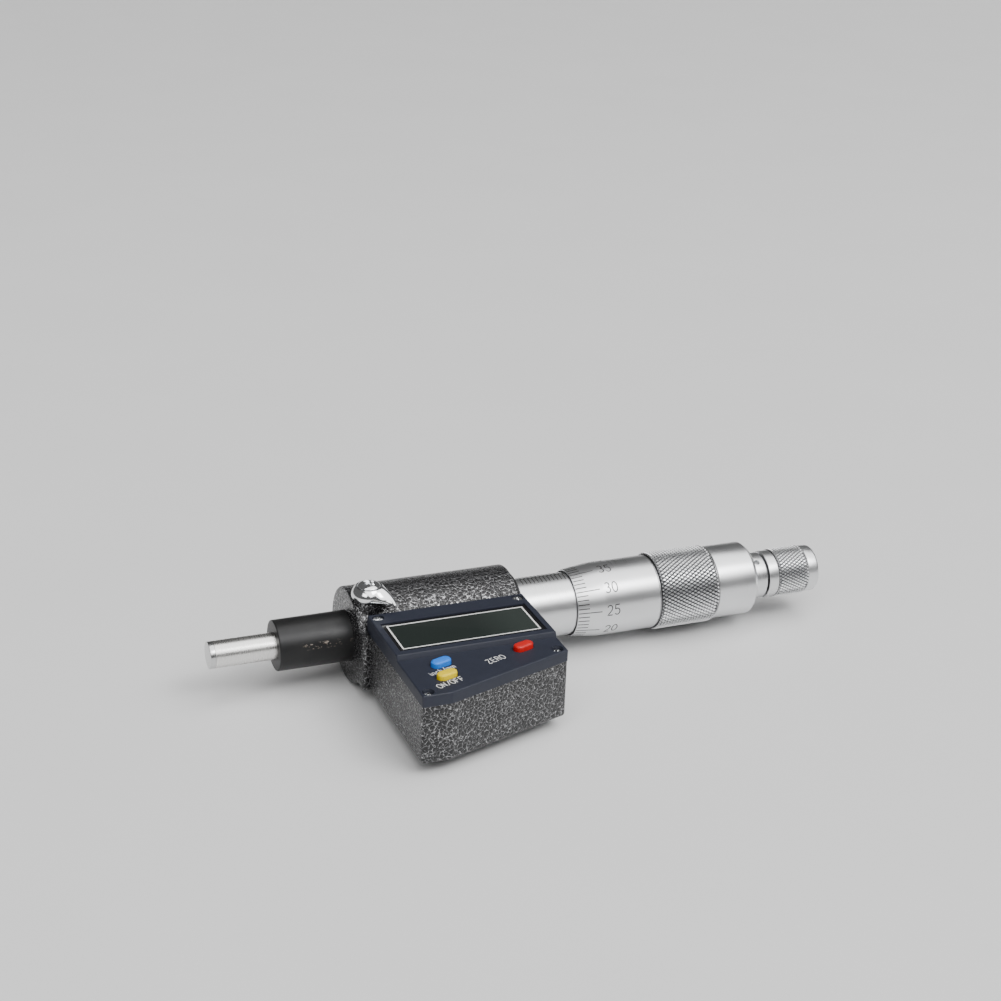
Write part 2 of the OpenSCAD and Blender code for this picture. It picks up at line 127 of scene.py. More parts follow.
def clean(bm):
    """Merges doubled points, turns normals outward and marks hard edges."""
    bmesh.ops.remove_doubles(bm, verts=bm.verts, dist=1e-5)
    bmesh.ops.recalc_face_normals(bm, faces=bm.faces)
    limit = math.radians(HARD_EDGE_DEG)
    for face in bm.faces:
        face.smooth = True
    for edge in bm.edges:
        edge.smooth = len(edge.link_faces) == 2 and edge.calc_face_angle(0) < limit
    return bm


def lathe(profile, count=128, closed=True):
    """Turns a profile of (x, radius) points about the X axis."""
    bm = bmesh.new()
    rings = []
    for x, r in profile:
        if r < 1e-6:
            rings.append([bm.verts.new((x, 0, 0))] * count)
            continue
        turns = [2 * math.pi * k / count for k in range(count)]
        rings.append([bm.verts.new((x, -r * math.cos(a), r * math.sin(a))) for a in turns])
    pairs = list(zip(rings, rings[1:] + rings[:1])) if closed else list(zip(rings, rings[1:]))
    for low, high in pairs:
        for k in range(count):
            j = (k + 1) % count
            corners = list(dict.fromkeys([low[k], low[j], high[j], high[k]]))
            if len(corners) > 2:
                bm.faces.new(corners)
    return bm


def upright(bm, x, y, z):
    """Stands a shape turned about X on its end at (x, y, z)."""
    bmesh.ops.rotate(bm, verts=bm.verts, matrix=Matrix.Rotation(-math.pi / 2, 3, "Y"))
    bmesh.ops.translate(bm, verts=bm.verts, vec=(x, y, z))
    return bm


ROUNDING_STEPS = 4


def prism(outline, z0, z1, side=0.0, top=0.0, bottom=0.0):
    """Upright block on an outline, with its vertical, top and bottom edges rounded."""
    steps = ROUNDING_STEPS
    ring = fillet([(*p, side) for p in outline], steps, closed=True) if side else outline
    bm = bmesh.new()
    levels = [(z0, bottom)] if not bottom else []
    if bottom:
        levels += [(z0 + bottom * (1 - math.cos(a)), bottom * (1 - math.sin(a)))
                   for a in (math.pi / 2 * k / steps for k in range(steps + 1))]
    if top:
        levels += [(z1 - top * (1 - math.sin(a)), top * (1 - math.cos(a)))
                   for a in (math.pi / 2 * k / steps for k in range(steps + 1))]
    else:
        levels.append((z1, 0))
    loft(bm, [[(x, y, z) for x, y in shrink(ring, d)] for z, d in levels])
    return bm


def shrink(ring, distance):
    """Moves each point of a closed outline inward by a distance."""
    if distance == 0:
        return [tuple(p[:2]) for p in ring]
    area = sum(a[0] * b[1] - b[0] * a[1] for a, b in zip(ring, ring[1:] + ring[:1]))
    sign = 1 if area > 0 else -1
    out = []
    for i, p in enumerate(ring):
        back = (Vector(p[:2]) - Vector(ring[i - 1][:2])).normalized()
        ahead = (Vector(ring[(i + 1) % len(ring)][:2]) - Vector(p[:2])).normalized()
        normal_a = Vector((-back.y, back.x)) * sign
        normal_b = Vector((-ahead.y, ahead.x)) * sign
        mid = (normal_a + normal_b).normalized()
        out.append(tuple(Vector(p[:2]) + mid * distance / max(mid.dot(normal_a), 0.3)))
    return out


def loft(bm, rings, close_ends=True):
    """Skins rings of points that all have the same number of points."""
    made = [[bm.verts.new(p) for p in ring] for ring in rings]
    count = len(made[0])
    for low, high in zip(made, made[1:]):
        for k in range(count):
            j = (k + 1) % count
            bm.faces.new((low[k], low[j], high[j], high[k]))
    if close_ends:
        bm.faces.new(made[0])
        bm.faces.new(made[-1])
    return made


def combine(target, tool, operation):
    """Boolean of two shapes: UNION, DIFFERENCE or INTERSECT."""
    objects = []
    for name, bm in (("target", target), ("tool", tool)):
        bmesh.ops.recalc_face_normals(bm, faces=bm.faces)
        mesh = bpy.data.meshes.new(name)
        bm.to_mesh(mesh)
        bm.free()
        objects.append(bpy.data.objects.new(name, mesh))
        bpy.context.scene.collection.objects.link(objects[-1])
    modifier = objects[0].modifiers.new("cut", "BOOLEAN")
    modifier.operation = operation
    modifier.solver = "EXACT"
    modifier.object = objects[1]
    graph = bpy.context.evaluated_depsgraph_get()
    made = bmesh.new()
    made.from_mesh(objects[0].evaluated_get(graph).to_mesh())
    for o in objects:
        mesh = o.data
        bpy.data.objects.remove(o)
        bpy.data.meshes.remove(mesh)
    return made


def pill(x, y, width, height, steps=12):
    """Outline of a slot with round ends, parallel to the slanted front wall."""
    reach, r = (width - height) / 2, height / 2
    turns = [math.pi * k / steps for k in range(steps + 1)]
    right = [(reach + r * math.sin(a), -r * math.cos(a)) for a in turns]
    left = [(-reach - r * math.sin(a), r * math.cos(a)) for a in turns]
    return [on_slant(x, y, u, v) for u, v in right + left]


def on_slant(x, y, u, v):
    """A point u along the slanted front wall and v behind it, counted from (x, y)."""
    cos, sin = math.cos(FRONT_LEAN), math.sin(FRONT_LEAN)
    return (x + u * cos - v * sin, y + u * sin + v * cos)


def disc(x, y, r, count=48):
    return [(x + r * math.cos(2 * math.pi * k / count), y + r * math.sin(2 * math.pi * k / count))
            for k in range(count)]


def rectangle(x0, x1, y0, y1):
    return [(x0, y0), (x1, y0), (x1, y1), (x0, y1)]


def piece(name, bm, node, slot=None, replaced=()):
    """Makes a piece that rides with a CAD node's body and takes its material slot."""
    clean(bm)
    bmesh.ops.scale(bm, vec=(MM, MM, MM), verts=bm.verts)
    mesh = bpy.data.meshes.new(name)
    bm.to_mesh(mesh)
    bm.free()
    return place(name, mesh, node, slot, replaced)


def place(name, mesh, node, slot=None, replaced=()):
    slot = slot or SLOT_OF[node]
    obj = bpy.data.objects.new(name, mesh)
    bpy.context.scene.collection.objects.link(obj)
    mesh.materials.append(LOOKS[slot] if isinstance(slot, str) else slot)
    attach(obj, BODY_OF[node])
    slot if isinstance(slot, str) else SLOT_OF[node]
    if replaced:
        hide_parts(*replaced)
    return obj


# ---- materials ----


def shader(name, color, metallic=0.0, rough=0.5, **sockets):
    """A material with its constants on the shader's own sockets."""
    material = bpy.data.materials.new(name)
    material.use_nodes = True
    bsdf = material.node_tree.nodes["Principled BSDF"]
    bsdf.inputs["Base Color"].default_value = (*color, 1)
    bsdf.inputs["Metallic"].default_value = metallic
    bsdf.inputs["Roughness"].default_value = rough
    for socket, value in sockets.items():
        bsdf.inputs[socket.replace("_", " ")].default_value = value
    return material, material.node_tree, bsdf


def node(tree, kind, **settings):
    made = tree.nodes.new("ShaderNode" + kind)
    for key, value in settings.items():
        if key in made.inputs:
            made.inputs[key].default_value = value
        else:
            setattr(made, key, value)
    return made


def coordinates(tree, stretch=(1, 1, 1)):
    """Place on the piece in millimetres, stretched along an axis for directional grain."""
    where = node(tree, "TexCoord")
    scaled = node(tree, "VectorMath", operation="MULTIPLY")
    scaled.inputs[1].default_value = [s / MM for s in stretch]
    tree.links.new(where.outputs["Object"], scaled.inputs[0])
    return scaled.outputs["Vector"]


def noise(tree, grain, detail=3.0, stretch=(1, 1, 1)):
    """Noise whose blobs are about `grain` millimetres across."""
    made = node(tree, "TexNoise", Scale=1 / grain, Detail=detail)
    tree.links.new(coordinates(tree, stretch), made.inputs["Vector"])
    return made.outputs["Fac"]


def ramp(tree, source, low, high, start=0.3, end=0.7):
    """Numbers or colours between low and high, as source goes from start to end."""
    if isinstance(low, (int, float)):
        made = node(tree, "MapRange")
        for key, value in (("From Min", start), ("From Max", end), ("To Min", low), ("To Max", high)):
            made.inputs[key].default_value = value
        tree.links.new(source, made.inputs["Value"])
        return made.outputs["Result"]
    made = node(tree, "ValToRGB")
    made.color_ramp.elements[0].position = start
    made.color_ramp.elements[1].position = end
    made.color_ramp.elements[0].color = (*low, 1)
    made.color_ramp.elements[1].color = (*high, 1)
    tree.links.new(source, made.inputs["Fac"])
    return made.outputs["Color"]


def mix(tree, factor, low, high):
    made = node(tree, "Mix", data_type="RGBA")
    tree.links.new(factor, made.inputs["Factor"])
    for source, key in ((low, "A"), (high, "B")):
        socket = [s for s in made.inputs if s.name == key and s.type == "RGBA"][0]
        if isinstance(source, tuple):
            socket.default_value = (*source, 1)
        else:
            tree.links.new(source, socket)
    return [s for s in made.outputs if s.type == "RGBA"][0]


def bump(tree, bsdf, height, depth):
    """Adds relief whose full height is `depth` millimetres."""
    made = node(tree, "Bump", Strength=1.0, Distance=depth * MM)
    tree.links.new(height, made.inputs["Height"])
    tree.links.new(made.outputs["Normal"], bsdf.inputs["Normal"])


def tone(color, factor):
    return tuple(min(1.0, c * factor) for c in color)


def finish_of(name, color, metallic, rough, grain, spread=0.1, tint=0.12, depth=0.0,
              stretch=(1, 1, 1), **sockets):
    """A material whose colour, gloss and relief vary with a fine grain and a broad one."""
    material, tree, bsdf = shader(name, color, metallic, rough, **sockets)
    fine = noise(tree, grain, 4.0, stretch)
    broad = noise(tree, grain * 25, 2.0)
    tree.links.new(ramp(tree, broad, tone(color, 1 - tint), tone(color, 1 + tint)),
                   bsdf.inputs["Base Color"])
    tree.links.new(ramp(tree, fine, max(0.02, rough - spread), rough + spread),
                   bsdf.inputs["Roughness"])
    if depth:
        bump(tree, bsdf, fine, depth)
    return material


def hammered_paint():
    """Glossy black paint broken up by silver veins."""
    material, tree, bsdf = shader("hammered_paint", (0.01, 0.01, 0.011), 0.0, 0.3)
    place_mm = coordinates(tree)
    warp = node(tree, "TexNoise", Scale=1.1, Detail=2.0)
    tree.links.new(place_mm, warp.inputs["Vector"])
    moved = node(tree, "VectorMath", operation="MULTIPLY_ADD")
    tree.links.new(warp.outputs["Color"], moved.inputs[0])
    moved.inputs[1].default_value = (0.9, 0.9, 0.9)
    tree.links.new(place_mm, moved.inputs[2])
    cells = node(tree, "TexVoronoi", feature="DISTANCE_TO_EDGE", Scale=1.02)
    tree.links.new(moved.outputs["Vector"], cells.inputs["Vector"])
    edge = cells.outputs["Distance"]
    breaks = noise(tree, 0.55, 3.0)
    veins = ramp(tree, edge, 1.0, 0.0, 0.018, 0.075)
    gaps = ramp(tree, breaks, 0.0, 1.0, 0.38, 0.6)
    seen = node(tree, "Math", operation="MULTIPLY")
    tree.links.new(veins, seen.inputs[0])
    tree.links.new(gaps, seen.inputs[1])
    vein = seen.outputs["Value"]
    tree.links.new(mix(tree, vein, (0.008, 0.008, 0.009), (0.42, 0.42, 0.43)),
                   bsdf.inputs["Base Color"])
    tree.links.new(ramp(tree, vein, 0.0, 1.0, 0.1, 0.5), bsdf.inputs["Metallic"])
    tree.links.new(ramp(tree, vein, 0.24, 0.28, 0.0, 1.0), bsdf.inputs["Roughness"])
    bump(tree, bsdf, ramp(tree, edge, 0.0, 1.0, 0.0, 0.3), 0.1)
    return material


def black_steel():
    """Satin black steel, slightly mottled, worn to bronze and bare metal on its front."""
    material, tree, bsdf = shader("black_steel", (0.03, 0.03, 0.03), 0.6, 0.4)
    where = node(tree, "SeparateXYZ")
    tree.links.new(coordinates(tree), where.inputs["Vector"])
    # wear lies along a line a little below the front of the stem
    low = ramp(tree, where.outputs["Z"], 0.0, 1.0, 0.6, 1.0)
    high = ramp(tree, where.outputs["Z"], 1.0, 0.0, 1.9, 2.5)
    front = ramp(tree, where.outputs["Y"], 1.0, 0.0, -5.0, -4.0)
    along = ramp(tree, where.outputs["X"], 0.0, 1.0, -12.8, -11.0)
    fade = ramp(tree, where.outputs["X"], 1.0, 0.25, -6.0, -3.5)
    specks = ramp(tree, noise(tree, 0.5, 6.0, (0.6, 1, 1)), 0.0, 1.0, 0.57, 0.68)
    masks = [low, high, front, along, fade, specks]
    worn = masks[0]
    for other in masks[1:]:
        product = node(tree, "Math", operation="MULTIPLY")
        tree.links.new(worn, product.inputs[0])
        tree.links.new(other, product.inputs[1])
        worn = product.outputs["Value"]
    fine = noise(tree, 0.25, 4.0)
    base = ramp(tree, noise(tree, 6.0, 3.0), (0.021, 0.021, 0.022), (0.031, 0.031, 0.031))
    bare = ramp(tree, noise(tree, 0.3, 2.0), (0.28, 0.2, 0.13), (0.6, 0.54, 0.48))
    tree.links.new(mix(tree, worn, base, bare), bsdf.inputs["Base Color"])
    tree.links.new(ramp(tree, fine, 0.34, 0.5), bsdf.inputs["Roughness"])
    bump(tree, bsdf, fine, 0.012)
    return material


def turned_metal(name, color, rough, rings=0.12, depth=0.0012, spread=0.06):
    """Metal turned about X: faint rings, and a slightly uneven satin gloss."""
    material, tree, bsdf = shader(name, color, 1.0, rough)
    lines = noise(tree, rings, 3.0, (1, 0.01, 0.01))
    cloud = noise(tree, 9.0, 2.0)
    tree.links.new(ramp(tree, cloud, tone(color, 0.97), tone(color, 1.02)),
                   bsdf.inputs["Base Color"])
    both = node(tree, "Math", operation="ADD")
    tree.links.new(ramp(tree, lines, -spread / 2, spread / 2), both.inputs[0])
    tree.links.new(ramp(tree, cloud, rough - spread / 3, rough + spread / 3), both.inputs[1])
    tree.links.new(both.outputs["Value"], bsdf.inputs["Roughness"])
    bump(tree, bsdf, lines, depth)
    return material


def knurled_chrome(name, top_r):
    """Satin chrome, with painted shade darkening it towards the bottom of the knurl's grooves."""
    material, tree, bsdf = shader(name, (0.74, 0.745, 0.755), 1.0, 0.28)
    where = node(tree, "SeparateXYZ")
    tree.links.new(coordinates(tree, (0, 1, 1)), where.inputs["Vector"])
    flat = node(tree, "CombineXYZ")
    tree.links.new(where.outputs["Y"], flat.inputs["Y"])
    tree.links.new(where.outputs["Z"], flat.inputs["Z"])
    length = node(tree, "VectorMath", operation="LENGTH")
    tree.links.new(flat.outputs["Vector"], length.inputs[0])
    # painted shade: the base colour goes almost black towards the bottom of the knurl's grooves
    height = ramp(tree, length.outputs["Value"], 0.0, 1.0, top_r - 0.42, top_r - 0.1)
    tree.links.new(mix(tree, height, (0.07, 0.07, 0.075), (0.76, 0.765, 0.775)),
                   bsdf.inputs["Base Color"])
    tree.links.new(ramp(tree, noise(tree, 0.2, 3.0), 0.24, 0.34), bsdf.inputs["Roughness"])
    return material


def moulded(name, color, rough=0.5, grain=0.12, depth=0.01, **sockets):
    """Moulded plastic with a fine spark-eroded texture."""
    return finish_of(name, color, 0.0, rough, grain, 0.06, 0.06, depth, **sockets)


def display_glass():
    """Grey-green liquid-crystal glass, with a painted reflection that makes it a little lighter towards
    its right end.
    """
    material, tree, bsdf = shader("lcd", (0.026, 0.034, 0.03), 0.0, 0.16, Coat_Weight=0.4)
    where = node(tree, "SeparateXYZ")
    tree.links.new(coordinates(tree), where.inputs["Vector"])
    # painted reflection: the base colour lightens towards the right end of the glass
    painted_reflection = ramp(tree, where.outputs["X"], 0.0, 1.0, WINDOW_HIGH.x - 16, WINDOW_HIGH.x - 5)
    tree.links.new(mix(tree, painted_reflection, (0.026, 0.036, 0.031), (0.042, 0.054, 0.047)),
                   bsdf.inputs["Base Color"])
    tree.links.new(ramp(tree, noise(tree, 0.4), 0.13, 0.2), bsdf.inputs["Roughness"])
    return material


def dark_pane():
    """The display behind its glossy window: near black, with a painted reflection that makes it a little
    lighter towards the right end.
    """
    material, tree, bsdf = shader("window", (0.014, 0.019, 0.017), 0.0, 0.1)
    where = node(tree, "SeparateXYZ")
    tree.links.new(coordinates(tree), where.inputs["Vector"])
    # painted reflection: the base colour lightens towards the right end of the pane
    painted_reflection = ramp(tree, where.outputs["X"], 0.0, 1.0, WINDOW_HIGH.x - 15, WINDOW_HIGH.x - 5)
    tree.links.new(mix(tree, painted_reflection, (0.014, 0.019, 0.017), (0.026, 0.034, 0.03)),
                   bsdf.inputs["Base Color"])
    tree.links.new(ramp(tree, noise(tree, 6.0, 3.0), 0.08, 0.13), bsdf.inputs["Roughness"])
    return material


LOOKS = {
    "hammered_paint": hammered_paint(),
    "black_steel": black_steel(),
    "ground_steel": turned_metal("ground_steel", (0.78, 0.77, 0.75), 0.27, 0.2, 0.002, 0.08),
    "carbide": turned_metal("carbide", (0.6, 0.6, 0.6), 0.22),
    "satin_chrome": turned_metal("satin_chrome", (0.74, 0.745, 0.755), 0.31),
    "bright_chrome": finish_of("bright_chrome", (0.86, 0.87, 0.88), 1.0, 0.12, 0.5, 0.02, 0.02),
    "machined_steel": turned_metal("machined_steel", (0.52, 0.53, 0.55), 0.34),
    "spring_steel": finish_of("spring_steel", (0.3, 0.3, 0.33), 1.0, 0.35, 0.3, 0.08, 0.1),
    "dark_ring": turned_metal("dark_ring", (0.1, 0.1, 0.105), 0.36),
    "navy_plastic": moulded("navy_plastic", (0.016, 0.019, 0.032), 0.52, 0.09, 0.012,
                            Specular_IOR_Level=0.4),
    "window": dark_pane(),
    "lcd": display_glass(),
    "black_plastic": moulded("black_plastic", (0.016, 0.016, 0.017), 0.48, 0.15, 0.012),
    "board_green": finish_of("board_green", (0.02, 0.12, 0.05), 0.0, 0.3, 0.4, 0.08, 0.15, 0.004),
    "chip_black": moulded("chip_black", (0.02, 0.02, 0.021), 0.6),
    "contact_rubber": finish_of("contact_rubber", (0.42, 0.2, 0.28), 0.0, 0.6, 0.1, 0.1, 0.25, 0.01,
                                (6, 0.2, 0.2)),
    "grey_rubber": moulded("grey_rubber", (0.2, 0.21, 0.22), 0.7, 0.2),
    "seal_rubber": moulded("seal_rubber", (0.015, 0.015, 0.015), 0.6, 0.2),
    "contact_brass": finish_of("contact_brass", (0.72, 0.52, 0.22), 1.0, 0.3, 0.3, 0.08),
    "bearing_bronze": turned_metal("bearing_bronze", (0.55, 0.36, 0.16), 0.36),
    "film": finish_of("film", (0.5, 0.24, 0.05), 0.0, 0.3, 0.4, 0.08),
    "cell_steel": finish_of("cell_steel", (0.7, 0.7, 0.71), 1.0, 0.24, 0.4, 0.08),
    "blue_plastic": moulded("blue_plastic", (0.02, 0.19, 0.74), 0.38, 0.2, 0.006,
                            Specular_IOR_Level=0.35),
    "yellow_plastic": moulded("yellow_plastic", (0.76, 0.56, 0.004), 0.38, 0.2, 0.006,
                              Specular_IOR_Level=0.35),
    "red_plastic": moulded("red_plastic", (0.5, 0.008, 0.007), 0.38, 0.2, 0.006, Specular_IOR_Level=0.35),
}
SLOT_OF = {part["node"]: part["material_slot"] for part in record["subparts"]}
PRINT_WHITE = finish_of("print_white", (0.8, 0.8, 0.79), 0.0, 0.45, 0.15, 0.08, 0.05)
PRINT_BLACK = finish_of("print_black", (0.006, 0.006, 0.007), 0.0, 0.12, 0.3, 0.04, 0.1)
ENGRAVED = finish_of("engraved", (0.012, 0.012, 0.012), 0.0, 0.6, 0.15, 0.1, 0.2)

for name, cad in frame["nodes"].items():
    for place_slot in cad.material_slots:
        place_slot.material = LOOKS[SLOT_OF[name]]

# ---- spindle and stem ----


def make_stem():
    end, shoulder = STEM_LOW.x, 0.0
    bore = SPINDLE_R + 0.035
    profile = fillet([(end, bore, 0.08), (end, STEM_R, 0.35), (shoulder + 0.3, STEM_R),
                      (shoulder + 0.3, bore)], 6)
    piece("stem_tube", lathe(profile, 144), "stem", replaced=("stem",))


def make_spindle():
    joint = TIP_HIGH.x
    thread_x, thread_r = THIMBLE_LOW.x - 12.0, 3.05
    seat_x, rear, seat_r, bore = THIMBLE_LOW.x + CAVITY_LEN, THIMBLE_HIGH.x - 4.5, 3.94, 2.03
    profile = fillet([(joint + 0.02, 0), (joint + 0.02, SPINDLE_R, 0.05), (thread_x, SPINDLE_R),
                      (thread_x, thread_r), (seat_x, thread_r), (seat_x, seat_r), (rear, seat_r),
                      (rear, bore), (rear - 7.5, bore), (rear - 7.5, 0)])
    rod = lathe(profile, 112, closed=False)
    keyway = prism(rectangle(5.0, 34.2, -0.8, 0.8), 2.4, 5.0)
    piece("spindle_rod", combine(rod, keyway, "DIFFERENCE"), "spindle", replaced=("spindle",))
    face = fillet([(TIP_LOW.x, 0), (TIP_LOW.x, SPINDLE_R, 0.14), (joint, SPINDLE_R, 0.05), (joint, 0)])
    piece("measuring_face", lathe(face, 112, closed=False), "measuring_tip", replaced=("measuring_tip",))


# ---- sleeve and thimble, with their scales ----


def around(radius_at):
    """Surface of a round part: (x, arc length, height) to a point."""
    def point(x, arc, height):
        a = arc / radius_at(x)
        r = radius_at(x) + height
        return (x, -r * math.cos(a), r * math.sin(a))
    return point


MARK_SINK = 0.03


def ribbon(bm, path, width, point, lift=0.012):
    """A thin line that follows a surface. The path is in millimetres along the surface."""
    rings = []
    for i, p in enumerate(path):
        p = Vector(p)
        back, ahead = Vector(path[max(i - 1, 0)]), Vector(path[min(i + 1, len(path) - 1)])
        turn = (ahead - p).normalized() + (p - back).normalized()
        side = Vector((-turn.y, turn.x)).normalized() * width / 2
        section = ((p + side, lift), (p - side, lift), (p - side, -MARK_SINK), (p + side, -MARK_SINK))
        rings.append([point(q.x, q.y, h) for q, h in section])
    loft(bm, rings)


def curve(cu, cv, ru, rv, start, end, steps=10):
    """Points on an ellipse in the numeral's own box."""
    turns = [math.radians(start + (end - start) * k / steps) for k in range(steps + 1)]
    return [(cu + ru * math.cos(a), cv + rv * math.sin(a)) for a in turns]


def straight(*corners, steps=3):
    """A line through corners, cut up so that it bends with the surface."""
    out = [corners[0]]
    for a, b in zip(corners, corners[1:]):
        out += [(a[0] + (b[0] - a[0]) * k / steps, a[1] + (b[1] - a[1]) * k / steps)
                for k in range(1, steps + 1)]
    return out


# strokes of the plain lettering, in a box 0.56 wide and 1 high
STROKES = {
    "0": [curve(0.28, 0.5, 0.26, 0.5, 0, 360, 24)],
    "1": [straight((0.1, 0.78), (0.3, 1.0), (0.3, 0.0))],
    "2": [curve(0.28, 0.74, 0.25, 0.26, 165, -30) + straight((0.46, 0.5), (0.03, 0.0), (0.55, 0.0))],
    "3": [curve(0.27, 0.76, 0.22, 0.24, 145, -90), curve(0.27, 0.27, 0.27, 0.27, 85, -145)],
    "4": [straight((0.42, 0.0), (0.42, 1.0), (0.02, 0.32), (0.56, 0.32))],
    "5": [straight((0.52, 1.0), (0.12, 1.0), (0.07, 0.56)), curve(0.27, 0.32, 0.27, 0.32, 130, -145)],
    "O": [curve(0.3, 0.5, 0.3, 0.5, 0, 360, 24)],
    "N": [straight((0.04, 0.0), (0.04, 1.0), (0.52, 0.0), (0.52, 1.0))],
    "F": [straight((0.06, 0.0), (0.06, 1.0), (0.52, 1.0)), straight((0.06, 0.52), (0.44, 0.52))],
    "Z": [straight((0.04, 1.0), (0.52, 1.0), (0.02, 0.0), (0.54, 0.0))],
    "E": [straight((0.5, 1.0), (0.06, 1.0), (0.06, 0.0), (0.5, 0.0)),
          straight((0.06, 0.52), (0.44, 0.52))],
    "R": [straight((0.06, 0.0), (0.06, 1.0), (0.3, 1.0)) + curve(0.3, 0.76, 0.2, 0.24, 80, -90)
          + straight((0.28, 0.52), (0.06, 0.52)), straight((0.3, 0.52), (0.52, 0.0))],
    "i": [straight((0.28, 0.0), (0.28, 0.68)), straight((0.28, 0.88), (0.28, 0.98))],
    "n": [straight((0.08, 0.0), (0.08, 0.68)), curve(0.28, 0.44, 0.2, 0.23, 180, 0) + [(0.48, 0.0)]],
    "c": [curve(0.3, 0.34, 0.24, 0.34, 50, 310)],
    "h": [straight((0.08, 0.0), (0.08, 1.0)), curve(0.28, 0.44, 0.2, 0.23, 180, 0) + [(0.48, 0.0)]],
    "m": [straight((0.0, 0.0), (0.0, 0.68)), curve(0.16, 0.5, 0.16, 0.17, 180, 0) + [(0.32, 0.0)],
          curve(0.48, 0.5, 0.16, 0.17, 180, 0) + [(0.64, 0.0)]],
    "/": [straight((0.06, -0.05), (0.5, 1.05))],
    " ": [],
}


NARROW = {"i": 0.36, "m": 0.84, "/": 0.6, "n": 0.7, "c": 0.66, "h": 0.7}


def lettering(bm, text, u, v, height, point, width, step=0.76):
    """A line of letters centred at (u, v) on a surface."""
    advance = [NARROW.get(letter, step) for letter in text]
    start = u - (sum(advance[:-1]) + 0.56) * height / 2
    for letter, move in zip(text, advance):
        shift = 0.14 if letter == "i" else 0.0
        for stroke in STROKES[letter]:
            path = [(start + (a - shift) * height, v + (b - 0.5) * height) for a, b in stroke]
            ribbon(bm, path, width, point)
        start += move * height


DATUM_DEG = 97.0
PITCH_MM = 0.5
DIVISIONS = 50
RANGE_MM = 25
SLEEVE_LINE = 0.19
READING = 11.877
SCALE_ZERO_X = THIMBLE_LOW.x - READING


def make_sleeve():
    bore = 5.7
    profile = fillet([(SLEEVE_LOW.x, bore), (SLEEVE_LOW.x, SLEEVE_R), (SLEEVE_HIGH.x, SLEEVE_R, 0.2),
                      (SLEEVE_HIGH.x, bore)])
    piece("scale_sleeve", lathe(profile, 160), "graduated_sleeve", replaced=("graduated_sleeve",))
    marks = bmesh.new()
    on_sleeve = around(lambda x: SLEEVE_R)
    datum = math.radians(DATUM_DEG) * SLEEVE_R
    ribbon(marks, [(RING_HIGH.x + 0.2, datum), (SLEEVE_HIGH.x - 0.6, datum)], SLEEVE_LINE, on_sleeve)
    for i in range(RANGE_MM + 1):
        x = SCALE_ZERO_X + i
        ribbon(marks, straight((x, datum), (x, datum - 2.65), steps=6), SLEEVE_LINE, on_sleeve)
        if i % 5 == 0:
            lettering(marks, str(i), x, datum + 4.6, 2.2, on_sleeve, 0.2)
        if i < RANGE_MM:
            half = x + PITCH_MM
            ribbon(marks, straight((half, datum), (half, datum + 2.2), steps=6), SLEEVE_LINE, on_sleeve)
    piece("sleeve_scale", marks, "graduated_sleeve", ENGRAVED)
    ring_r = RING_HIGH.z
    ring = fillet([(RING_LOW.x, SLEEVE_R + 0.02), (RING_LOW.x, ring_r), (RING_LOW.x + 0.5, ring_r, 0.12),
                   (RING_LOW.x + 0.5, ring_r - 0.5), (RING_LOW.x + 0.72, ring_r - 0.5),
                   (RING_LOW.x + 0.72, ring_r - 0.1, 0.12), (RING_HIGH.x, ring_r - 0.35, 0.3),
                   (RING_HIGH.x, SLEEVE_R + 0.02)], 5)
    piece("dark_collar", lathe(ring, 144), "collar_ring", replaced=("collar_ring",))


PYRAMID_FLAT = 0.44
BAND_EDGE = 0.2


def knurl_ring(x0, x1, top_r, diamonds, pitch, depth=0.42, wall=1.0):
    """A ring with a diamond-knurled outside: flat-topped pyramids between crossed grooves."""
    count = 2 * diamonds
    rows = round(2 * (x1 - x0 - 2 * BAND_EDGE) / pitch)
    half_x = (x1 - x0 - 2 * BAND_EDGE) / rows
    low_r = top_r - depth
    bm = bmesh.new()

    def at(i, j, r):
        a = 2 * math.pi * i / count
        return (x0 + BAND_EDGE + j * half_x, -r * math.cos(a), r * math.sin(a))

    grid = {}
    for j in range(rows + 1):
        for i in range(count):
            crossing = (i + j) % 2 == 0
            if crossing or j in (0, rows):
                grid[i, j] = bm.verts.new(at(i, j, low_r if crossing else top_r - 0.04))
    for j in range(rows + 1):
        for i in range(count):
            if (i + j) % 2 == 0:
                continue
            left, right = grid[(i - 1) % count, j], grid[(i + 1) % count, j]
            if j in (0, rows):
                tip = grid[i, 1] if j == 0 else grid[i, rows - 1]
                bm.faces.new((left, grid[i, j], tip))
                bm.faces.new((grid[i, j], right, tip))
                continue
            corners = [left, grid[i, j - 1], right, grid[i, j + 1]]
            tops = [bm.verts.new(at(i + PYRAMID_FLAT * di, j + PYRAMID_FLAT * dj, top_r))
                    for di, dj in ((-1, 0), (0, -1), (1, 0), (0, 1))]
            bm.faces.new(tops)
            for k in range(4):
                n = (k + 1) % 4
                bm.faces.new((corners[k], corners[n], tops[n], tops[k]))
    rings = [[grid[i, 0] for i in range(count)]]
    for x, r in ((x0, low_r - 0.05), (x0, top_r - wall), (x1, top_r - wall), (x1, low_r - 0.05)):
        turns = [2 * math.pi * k / count for k in range(count)]
        rings.append([bm.verts.new((x, -r * math.cos(a), r * math.sin(a))) for a in turns])
    rings.append([grid[i, rows] for i in range(count)])
    for low, high in zip(rings, rings[1:]):
        for k in range(count):
            n = (k + 1) % count
            bm.faces.new((low[k], low[n], high[n], high[k]))
    return bm


TAPER = 7.0
FRONT_R = 8.15
PLAIN_R = 9.0
KNURL_AT = 21.9
KNURL_W = 15.4
CAVITY_LEN = 32.5
SEAT_R = 3.95
PLUG_R = 4.3
PLUG_LEN = 4.4
ROD_R = 2.0


